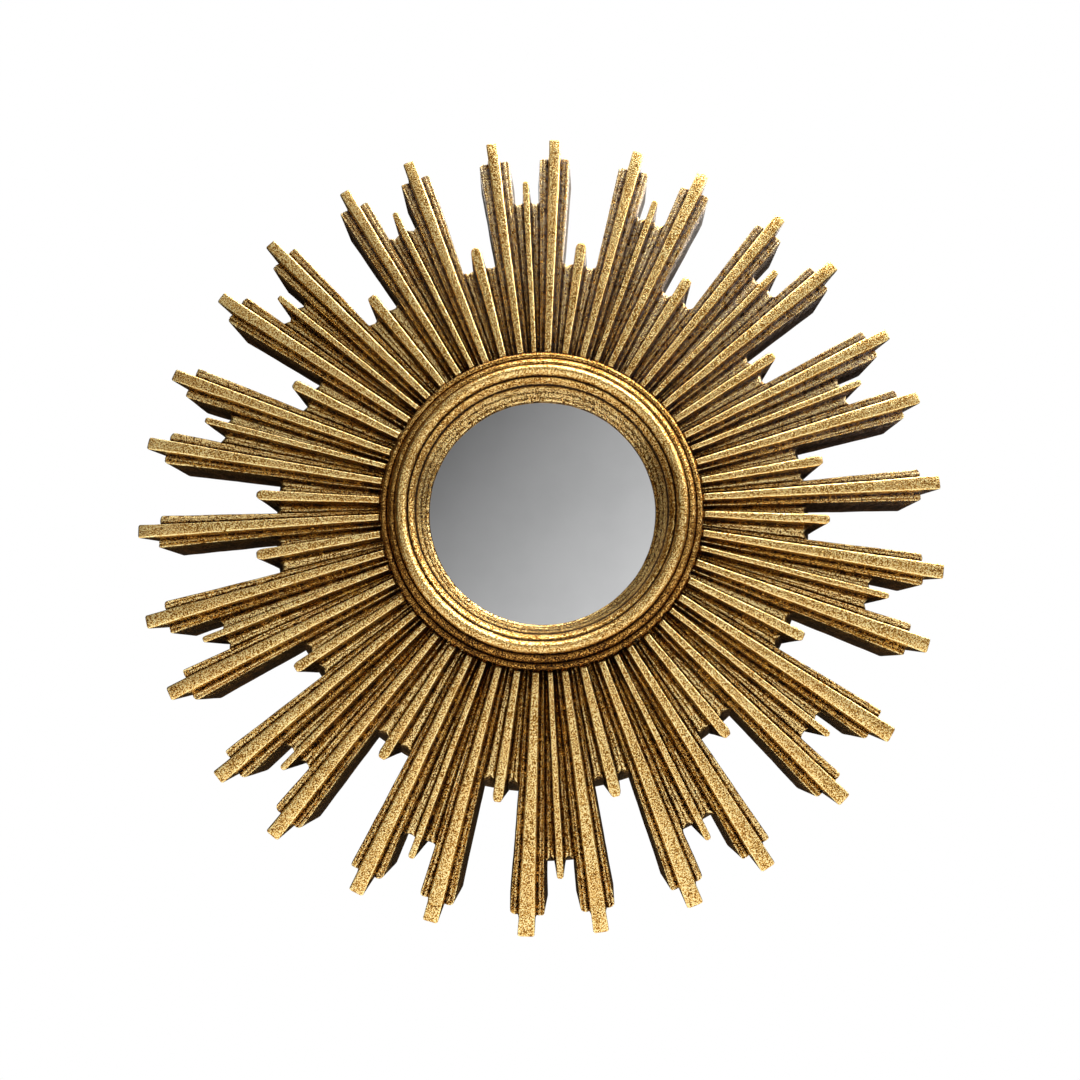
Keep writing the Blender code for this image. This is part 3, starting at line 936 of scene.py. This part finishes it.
def ramp_of(tree, value, stops):
    """Colours along a value: stops are (place, colour)."""
    made = add_node(tree, "ValToRGB", {"Fac": value})
    ramp = made.color_ramp
    while len(ramp.elements) < len(stops):
        ramp.elements.new(0.5)
    for element, (place, colour) in zip(ramp.elements, stops):
        element.position = place
        element.color = (*colour, 1.0)
    return made.outputs["Color"]


def mixed(tree, share, first, second, blend="MIX"):
    inputs = {"Factor": share, "A": first, "B": second}
    return add_node(tree, "Mix", inputs, data_type="RGBA", blend_type=blend).outputs["Result"]


def bumped(tree, height, depth, strength, under=None):
    inputs = {"Height": height, "Distance": depth, "Strength": strength}
    if under is not None:
        inputs["Normal"] = under
    return add_node(tree, "Bump", inputs).outputs["Normal"]


def place_piece(name, mesh, material, node=None, smooth=SMOOTH_LIMIT):
    """Put a finished mesh in the scene as a piece of the object."""
    mesh.shade_smooth()
    mesh.set_sharp_from_angle(angle=smooth)
    mesh.materials.append(material)
    piece = bpy.data.objects.new(name, mesh)
    scene.collection.objects.link(piece)
    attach(piece, "root")
    if node:
        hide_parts(node)
    print("placed", name)


# %% [markdown]
# ## The gilding
#
# The gilder lays leaf over the whole casting, floods it with an umber glaze and wipes the glaze off
# the high places. So one value drives the finish: how rubbed the surface is, with painted shade in
# the grooves and creases laid into the same value. We take it from the points' own attribute and
# break it up with a fine speckle, blotches, small pits and scraped streaks down the rays, all
# stronger in the low places and nearly gone on the walls and the flat back. Low values give
# near-black umber and painted shade, then copper brown, then gold, then the pale edges that every
# cloth reaches, which on the bars' edges are also painted highlight lines. The umber is duller than
# the leaf, and its faint shine at a low angle is kept warm. Up to the right, towards the window's
# light, the low places get a painted cool sheen, a painted reflection of that light.

# %% Noises and spans of the gilding
# Each noise: its scale, detail and roughness.
LEAF_NOISES = {
    "speckle": (1250.0, 2.0, 0.6),
    "grain": (2600.0, 1.0, 0.5),
    "blotch": (330.0, 3.0, 0.55),
    "mottle": (75.0, 3.0, 0.5),
    "pit": (420.0, 2.0, 0.5),
    "warmth": (38.0, 2.0, 0.5),
}
# What a value turns into: its low and high end, and the new value at each.
LEAF_SPANS = {
    "low place": (-0.0315, -0.0288, 0.0, 1.0),
    "plain place": (-0.0195, -0.0150, 0.0, 1.0),
    "speckle": (0.38, 0.62, -0.48, 0.36),
    "blotch": (0.36, 0.64, -0.10, 0.09),
    "streak": (0.38, 0.62, -0.14, 0.18),
    "mottle": (0.32, 0.68, -0.09, 0.08),
    "pit": (0.66, 0.74, 0.0, 0.55),
    "pitted patch": (0.50, 0.62, 0.0, 1.0),
    "warmth": (0.48, 0.70, 0.0, 0.30),
    # The next three spans place the painted cool sheen.
    "painted_sheen": (0.06, 0.19, 0.0, 0.40),
    "sheen patch": (0.35, 0.60, 0.0, 1.0),
    "plain sheen": (0.0, 1.0, 1.0, 0.25),
    "metal": (0.05, 0.35, 0.60, 1.0),
    "dullness": (0.05, 0.45, 0.72, 0.22),
    "grain dullness": (0.3, 0.7, -0.05, 0.05),
}
# How strongly a noise works on the faces and in the low places, and what the plain places take off.
LEAF_STRENGTHS = {"speckle": (1.0, 1.7, 1.45), "blotch": (0.6, 1.6, 1.2), "streak": (0.0, 1.0, 0.7)}

# %% How rubbed the leaf is
STREAK_WIDTH_SCALE = 168.0
STREAK_LENGTH_SCALE = 190.0


def span(tree, value, name):
    return remapped(tree, value, *LEAF_SPANS[name])


def streaks_along(tree, place):
    """Fine streaks that run down the rays, where the pattern was scraped."""
    parts = add_node(tree, "SeparateXYZ", {"Vector": place})
    flat = add_node(tree, "VectorMath", {0: place, 1: (1.0, 0.0, 1.0)}, operation="MULTIPLY")
    radius = add_node(tree, "VectorMath", {0: flat.outputs["Vector"]}, operation="LENGTH")
    turn = worked(tree, "ARCTAN2", parts.outputs["Z"], parts.outputs["X"])
    sideways = times(tree, turn, STREAK_WIDTH_SCALE)
    onwards = times(tree, radius.outputs["Value"], STREAK_LENGTH_SCALE)
    spot = add_node(tree, "CombineXYZ", {"X": sideways, "Y": onwards}).outputs["Vector"]
    return noise_of(tree, spot, 1.0, 2.0, 0.6)


def rubbed_and_shaded_level(tree, noises, low_place, plain_place):
    """From 0 where the umber and painted shade lie thick to 1 where the leaf is rubbed bright."""
    level = add_node(tree, "Attribute", attribute_name="rubbed_and_shaded").outputs["Fac"]
    for name, (on_faces, in_lows, off_plain) in LEAF_STRENGTHS.items():
        strength = remapped(tree, low_place, 0.0, 1.0, on_faces, in_lows)
        strength = worked(tree, "SUBTRACT", strength, times(tree, plain_place, off_plain))
        level = worked(tree, "ADD", level, times(tree, span(tree, noises[name], name), strength))
    level = worked(tree, "ADD", level, span(tree, noises["mottle"], "mottle"))
    pits = times(tree, span(tree, noises["pit"], "pit"), span(tree, noises["mottle"], "pitted patch"))
    return worked(tree, "SUBTRACT", level, pits, clamp=True)


# %% The gilding's colour, shine and grain
LEAF_STOPS = (
    (0.00, (0.006, 0.002, 0.001)),
    (0.20, (0.050, 0.017, 0.003)),
    (0.38, (0.230, 0.084, 0.011)),
    (0.54, (0.415, 0.193, 0.033)),
    (0.68, (0.610, 0.348, 0.080)),
    (0.84, (0.885, 0.568, 0.172)),
    (1.00, (1.000, 0.835, 0.415)),
)
WARM_TINT = (0.90, 0.70, 0.50, 1.0)
# Painted cool sheen: its way, towards the window's light, and its grey.
SHEEN_WAY = (0.5, 0.0, 0.866)
SHEEN_COLOUR = (0.30, 0.29, 0.33, 1.0)
# Each bump: its depth and strength.
SPECKLE_BUMP = (0.0004, 0.55)
BLOTCH_BUMP = (0.0008, 0.6)
GRAIN_BUMP = (0.0002, 0.5)


def make_gilding():
    material, tree, shader = new_finish("antique_gilding_finish")
    place = object_place(tree)
    noises = {name: noise_of(tree, place, *sizes) for name, sizes in LEAF_NOISES.items()}
    noises["streak"] = streaks_along(tree, place)
    height = add_node(tree, "SeparateXYZ", {"Vector": place}).outputs["Y"]
    low_place = span(tree, height, "low place")
    plain_place = span(tree, height, "plain place")
    level = rubbed_and_shaded_level(tree, noises, low_place, plain_place)
    leaf = mixed(tree, span(tree, noises["warmth"], "warmth"), ramp_of(tree, level, LEAF_STOPS),
                 WARM_TINT, "MULTIPLY")
    # Painted sheen: a cool grey on the low places up to the right, a painted reflection of the window's
    # light; it also lowers the metal there.
    painted_sheen = times(tree, span(tree, toward(tree, place, SHEEN_WAY), "painted_sheen"), low_place,
                  span(tree, noises["blotch"], "sheen patch"), span(tree, plain_place, "plain sheen"))
    dull = worked(tree, "ADD", span(tree, level, "dullness"), span(tree, noises["grain"], "grain dullness"))
    rough_leaf = bumped(tree, noises["speckle"], *SPECKLE_BUMP)
    rough_leaf = bumped(tree, times(tree, noises["blotch"], low_place), *BLOTCH_BUMP, rough_leaf)
    feed(tree, shader, {
        "Base Color": mixed(tree, painted_sheen, leaf, SHEEN_COLOUR),
        "Metallic": worked(tree, "SUBTRACT", span(tree, level, "metal"), painted_sheen),
        "Roughness": dull,
        "Specular IOR Level": 0.15,
        "Specular Tint": (1.0, 0.82, 0.56, 1.0),
        "Coat Weight": 0.05,
        "Coat Roughness": 0.18,
        "Normal": bumped(tree, noises["grain"], *GRAIN_BUMP, rough_leaf),
    })
    return material


place_piece("gilded_frame", frame_mesh, make_gilding(), "sunburst_frame")

# %% [markdown]
# ## Glass, board and hanging strip
#
# The glass is a flat disc silvered on its back. A mirror shows the coating, so one smooth metal-like
# surface stands for both, with the faintest haze. The board behind it is brown fibreboard, and the
# strip is pressed steel held by two small nails, as frame makers fit them. Discs, strip and nails
# are all rings of points, joined in the same way.

# %% Closed meshes from rings of points
def mesh_of_rings(name, rings):
    """Join each ring to the next, and close the first and the last with one face each."""
    count = len(rings[0])
    last = count * (len(rings) - 1)
    faces = [tuple(range(count)), tuple(range(last, last + count))]
    for low in range(0, last, count):
        for i in range(count):
            following = (i + 1) % count
            faces.append((low + i, low + following, low + count + following, low + count + i))
    mesh = bpy.data.meshes.new(name)
    mesh.from_pydata([tuple(point) for ring in rings for point in ring], [], faces)
    builder = bmesh.new()
    builder.from_mesh(mesh)
    bmesh.ops.recalc_face_normals(builder, faces=builder.faces)
    builder.to_mesh(mesh)
    builder.free()
    return mesh


# %% Glass and board
DISC_SEGMENTS = 256
DISC_SMOOTH = math.radians(30.0)
GLASS_CHAMFER = 0.0003
BOARD_THICKNESS = 0.015
BOARD_CHAMFER = 0.0006
CLEAR_SILVER = (0.86, 0.865, 0.87, 1.0)
HAZY_SILVER = (0.82, 0.825, 0.83, 1.0)
BOARD_STOPS = ((0.30, (0.150, 0.095, 0.055)), (0.55, (0.240, 0.160, 0.100)), (0.80, (0.330, 0.240, 0.160)))
BOARD_STAIN = (0.72, 0.68, 0.62, 1.0)


def disc_mesh(name, back_depth, thickness, chamfer):
    """A round plate with a small chamfer on both rims."""
    section = ((GLASS_RADIUS - chamfer, back_depth), (GLASS_RADIUS, back_depth + chamfer),
               (GLASS_RADIUS, back_depth + thickness - chamfer),
               (GLASS_RADIUS - chamfer, back_depth + thickness))
    return mesh_of_rings(name, [[polar(radius, turn, depth) for turn in full_turn(DISC_SEGMENTS)]
                                for radius, depth in section])


def make_silvering():
    material, tree, shader = new_finish("silvered_glass_finish")
    haze = noise_of(tree, object_place(tree), 30.0, 3.0, 0.5)
    feed(tree, shader, {
        "Base Color": mixed(tree, remapped(tree, haze, 0.4, 0.7), CLEAR_SILVER, HAZY_SILVER),
        "Metallic": 1.0,
        "Roughness": remapped(tree, haze, 0.3, 0.7, 0.02, 0.04),
    })
    return material


def make_fibreboard():
    material, tree, shader = new_finish("fibreboard_finish")
    place = object_place(tree)
    fibres = noise_of(tree, place, 900.0, 4.0, 0.7)
    clouds = remapped(tree, noise_of(tree, place, 40.0, 3.0, 0.5), 0.35, 0.70, 0.0, 0.5)
    feed(tree, shader, {
        "Base Color": mixed(tree, clouds, ramp_of(tree, fibres, BOARD_STOPS), BOARD_STAIN, "MULTIPLY"),
        "Roughness": remapped(tree, fibres, 0.3, 0.7, 0.92, 0.74),
        "Normal": bumped(tree, fibres, 0.0003, 0.5),
    })
    return material


glass_mesh = disc_mesh("silvered_glass_disc", GLASS_BACK_DEPTH, GLASS_THICKNESS, GLASS_CHAMFER)
board_mesh = disc_mesh("fibreboard_disc", 0.0, BOARD_THICKNESS, BOARD_CHAMFER)
place_piece("silvered_glass_disc", glass_mesh, make_silvering(), "mirror_glass",
            DISC_SMOOTH)
place_piece("fibreboard_disc", board_mesh, make_fibreboard(), "back_board", DISC_SMOOTH)

# %% Hanging strip
HANGER_THICKNESS = 0.0012
HANGER_FOOT = 0.008
HANGER_RAMP = 0.002
TOOTH_COUNT = 9
TOOTH_DEPTH = 0.0016
FIT_GAP = 0.0003
FOOT_DEPTH = POCKET_DEPTH - FIT_GAP - HANGER_THICKNESS
STRIP_SMOOTH = math.radians(20.0)


def strip_stations():
    """Along the strip: place, depth of its back face and height of its lower edge."""
    half = HANGER_LENGTH / 2.0
    bridge_half = half - HANGER_FOOT - HANGER_RAMP
    low = -HANGER_WIDTH / 2.0
    stations = [(-half, FOOT_DEPTH, low), (-half + HANGER_FOOT, FOOT_DEPTH, low)]
    pitch = 2.0 * bridge_half / TOOTH_COUNT
    for tooth in range(TOOTH_COUNT):
        root = -bridge_half + pitch * tooth
        stations.append((root, FIT_GAP, low + TOOTH_DEPTH))
        stations.append((root + pitch / 2.0, FIT_GAP, low))
    stations.append((bridge_half, FIT_GAP, low + TOOTH_DEPTH))
    return stations + [(half - HANGER_FOOT, FOOT_DEPTH, low), (half, FOOT_DEPTH, low)]


def strip_mesh():
    high = HANGER_HEIGHT + HANGER_WIDTH / 2.0
    sections = []
    for place, back, low in strip_stations():
        front = back + HANGER_THICKNESS
        edge_height = low + HANGER_HEIGHT
        sections.append([(place, -back, edge_height), (place, -front, edge_height),
                         (place, -front, high), (place, -back, high)])
    return mesh_of_rings("steel_hanging_strip", sections)


# %% Nails and steel
NAIL_HEAD_RADIUS = 0.0019
NAIL_HEAD_RISE = 0.0008
NAIL_SEGMENTS = 32
# From the shank in the casting to the middle of the head: radius and rise over the strip's foot.
NAIL_SECTION = ((0.0006, -0.0030), (0.0006, -0.0001), (NAIL_HEAD_RADIUS, 0.0), (NAIL_HEAD_RADIUS, 0.0004),
                (NAIL_HEAD_RADIUS * 0.7, NAIL_HEAD_RISE * 0.85), (NAIL_HEAD_RADIUS * 0.3, NAIL_HEAD_RISE))
STEEL_STOPS = ((0.30, (0.40, 0.41, 0.43)), (0.60, (0.58, 0.59, 0.60)))


def nail_mesh(name, place):
    """A domed nail head that sits on the strip's foot and looks out of the back."""
    middle = Vector((place, 0.0, HANGER_HEIGHT))
    return mesh_of_rings(name, [[middle + polar(radius, turn, FOOT_DEPTH - rise)
                                 for turn in full_turn(NAIL_SEGMENTS)] for radius, rise in NAIL_SECTION])


def make_steel():
    material, tree, shader = new_finish("bright_steel_finish")
    place = object_place(tree)
    dull = noise_of(tree, place, 240.0, 3.0, 0.6)
    feed(tree, shader, {
        "Base Color": ramp_of(tree, dull, STEEL_STOPS),
        "Metallic": 1.0,
        "Roughness": remapped(tree, dull, 0.3, 0.7, 0.46, 0.28),
        "Normal": bumped(tree, noise_of(tree, place, 1800.0), 0.00005, 0.4),
    })
    return material


steel = make_steel()
place_piece("steel_hanging_strip", strip_mesh(), steel, "saw_hanger", STRIP_SMOOTH)
nail_reach = HANGER_LENGTH / 2.0 - HANGER_FOOT / 2.0
for number, place in enumerate((-nail_reach, nail_reach), start=1):
    name = f"hanger_nail_{number}"
    place_piece(name, nail_mesh(name, place), steel)

# %% [markdown]
# ## Camera
#
# The picture was taken from close by, a little below the middle and tilted up, so the flanks of the
# right-hand and lower rays show and the far rim of the casting draws inwards. The camera stands at
# the same place with the same lens.

# %% The camera at the photograph's viewing angle
CAMERA_PLACE = Vector((0.00458, -0.46013, -0.08086))
CAMERA_TILT = math.radians(7.923)
CAMERA_PAN = math.radians(0.723)
CAMERA_ROLL = math.radians(-3.416)
PICTURE_WIDTH = 1080.0
FOCAL_PIXELS = 700.0
SENSOR_WIDTH = 36.0
PRINCIPAL_X = 560.0


def camera_axes():
    forward = Vector((math.sin(CAMERA_PAN) * math.cos(CAMERA_TILT),
                      math.cos(CAMERA_PAN) * math.cos(CAMERA_TILT), math.sin(CAMERA_TILT)))
    level = Vector((math.cos(CAMERA_PAN), -math.sin(CAMERA_PAN), 0.0))
    upward = level.cross(forward)
    right = math.cos(CAMERA_ROLL) * level + math.sin(CAMERA_ROLL) * upward
    up = math.cos(CAMERA_ROLL) * upward - math.sin(CAMERA_ROLL) * level
    return right, up, forward


right, up, forward = camera_axes()
camera_data = bpy.data.cameras.new("camera")
camera_data.sensor_width = SENSOR_WIDTH
camera_data.lens = FOCAL_PIXELS / PICTURE_WIDTH * SENSOR_WIDTH
camera_data.shift_x = (PICTURE_WIDTH / 2.0 - PRINCIPAL_X) / PICTURE_WIDTH
camera_data.clip_start = 0.02
camera_data.clip_end = 50.0
camera = bpy.data.objects.new("camera", camera_data)
turn = Matrix((right, up, -forward)).transposed()
camera.matrix_world = Matrix.Translation(CAMERA_PLACE) @ turn.to_4x4()
scene.collection.objects.link(camera)
scene.camera = camera
print("lens in millimetres:", round(camera_data.lens, 2))

# %% [markdown]
# ## Floor and light
#
# A grey floor lies well below and in front of the mirror, out of the picture. A gilded surface shows
# mostly what it mirrors, so the surround matters more than any lamp. One lamp up to the right gives
# the rims their glint. The surround has a window-like glow in the mirror's own plane up to the
# right, with a cool soft edge, a bright field behind at the upper right, and a softer glow in front
# that weakens to the right. The rest is dim and warm. Where the glass looks, the surround is a grey
# slope, lighter to the right and below. The world is white only for the camera, past the mirror.

# %% Floor
FLOOR_HEIGHT = -0.75
FLOOR_HALF = 2.5
FLOOR_FRONT = -2.6
FLOOR_BACK = 0.55
floor_corners = [(x, y, FLOOR_HEIGHT) for x, y in ((-FLOOR_HALF, FLOOR_FRONT), (FLOOR_HALF, FLOOR_FRONT),
                                                   (FLOOR_HALF, FLOOR_BACK), (-FLOOR_HALF, FLOOR_BACK))]
floor_mesh = bpy.data.meshes.new("pale_floor")
floor_mesh.from_pydata(floor_corners, [], [(0, 1, 2, 3)])
floor = bpy.data.objects.new("pale_floor", floor_mesh)
scene.collection.objects.link(floor)
floor_finish, floor_tree, floor_shader = new_finish("pale_floor_finish")
feed(floor_tree, floor_shader, {"Base Color": (0.50, 0.49, 0.47, 1.0), "Roughness": 0.8})
floor_mesh.materials.append(floor_finish)
print("the floor lies", -FLOOR_HEIGHT, "m below the middle of the glass")

# %% Lamp
LAMP_PLACE = Vector((0.69, -0.12, 1.20))
LAMP_SIZE = (1.3, 0.5)
LAMP_POWER = 7.5
lamp_data = bpy.data.lights.new("rim_lamp", "AREA")
lamp_data.shape = "RECTANGLE"
lamp_data.size, lamp_data.size_y = LAMP_SIZE
lamp_data.energy = LAMP_POWER
lamp = bpy.data.objects.new("rim_lamp", lamp_data)
lamp.location = LAMP_PLACE
lamp.rotation_euler = (-LAMP_PLACE).to_track_quat("-Z", "Y").to_euler()
scene.collection.objects.link(lamp)

# %% Glows of the surround
WINDOW_WAY = (0.5, 0.0, 0.866)
# Each glow: the way it lies, where it begins and is full along that way, the same along the line
# from -1 in front of the mirror to 1 behind it, and its colour.
GLOWS = {
    "window": (WINDOW_WAY, (0.62, 0.84), ((-0.58, -0.44), (0.62, 0.42)), (5.6, 5.6, 5.6)),
    "beside the window": (WINDOW_WAY, (0.20, 0.60), ((-0.60, -0.30), (0.60, 0.40)), (0.24, 0.27, 0.33)),
    "behind": ((0.30, 0.0, 0.954), (0.42, 0.50), ((0.50, 0.75),), (4.4, 4.4, 4.4)),
}
DIM_REST = (0.060, 0.050, 0.034, 1.0)
FRONT_WAY = (0.25, -0.87, 0.42)
FRONT_SPAN = (0.36, 0.66)
FRONT_TONE = 0.67
FRONT_FALL = 0.42
FRONT_COLOUR = (1.0, 0.99, 0.97)

world = bpy.data.worlds.new("studio_surround")
scene.world = world
world.use_nodes = True
sky = world.node_tree
sky.nodes.clear()
direction = add_node(sky, "TexCoord").outputs["Generated"]
parts = add_node(sky, "SeparateXYZ", {"Vector": direction})
across, ahead, above = (parts.outputs[name] for name in ("X", "Y", "Z"))


def with_glow(lit, share, colour):
    glow = mixed(sky, share, (0.0, 0.0, 0.0, 1.0), (*colour, 1.0))
    return mixed(sky, 1.0, lit, glow, "ADD")


surround = DIM_REST
for way, along, fades, colour in GLOWS.values():
    share = remapped(sky, toward(sky, direction, way), *along)
    share = times(sky, share, *[remapped(sky, ahead, *fade) for fade in fades])
    surround = with_glow(surround, share, colour)
fall = times(sky, toward(sky, direction, WINDOW_WAY), FRONT_FALL)
front = times(sky, remapped(sky, toward(sky, direction, FRONT_WAY), *FRONT_SPAN),
              worked(sky, "SUBTRACT", FRONT_TONE, fall))
surround = with_glow(surround, front, FRONT_COLOUR)
print("glows:", list(GLOWS), "and in front")

# %% What the glass shows, and white for the camera
GLASS_WAY = (0.0, -0.985, 0.172)
GLASS_SPAN = (0.955, 0.972)
SLOPE_ACROSS = 1.06
SLOPE_ABOVE = 1.02
SLOPE_MIDDLE = 0.605
DARKEST_GREY = 0.12
LIGHTEST_GREY = 0.64

grey = worked(sky, "ADD", times(sky, across, SLOPE_ACROSS), SLOPE_MIDDLE)
grey = worked(sky, "SUBTRACT", grey, times(sky, above, SLOPE_ABOVE))
grey = worked(sky, "MINIMUM", worked(sky, "MAXIMUM", grey, DARKEST_GREY), LIGHTEST_GREY)
facing_glass = remapped(sky, toward(sky, direction, GLASS_WAY), *GLASS_SPAN)
seen_in_glass = add_node(sky, "CombineColor", {"Red": grey, "Green": grey, "Blue": grey}).outputs["Color"]
lit = add_node(sky, "Background", {"Color": mixed(sky, facing_glass, surround, seen_in_glass)})
white = add_node(sky, "Background", {"Color": (1.0, 1.0, 1.0, 1.0)})
to_camera = add_node(sky, "LightPath").outputs["Is Camera Ray"]
both = add_node(sky, "MixShader", {0: to_camera, 1: lit.outputs[0], 2: white.outputs[0]})
add_node(sky, "OutputWorld", {"Surface": both.outputs[0]})
scene.view_settings.view_transform = "Standard"
print("nodes in the surround:", len(sky.nodes))
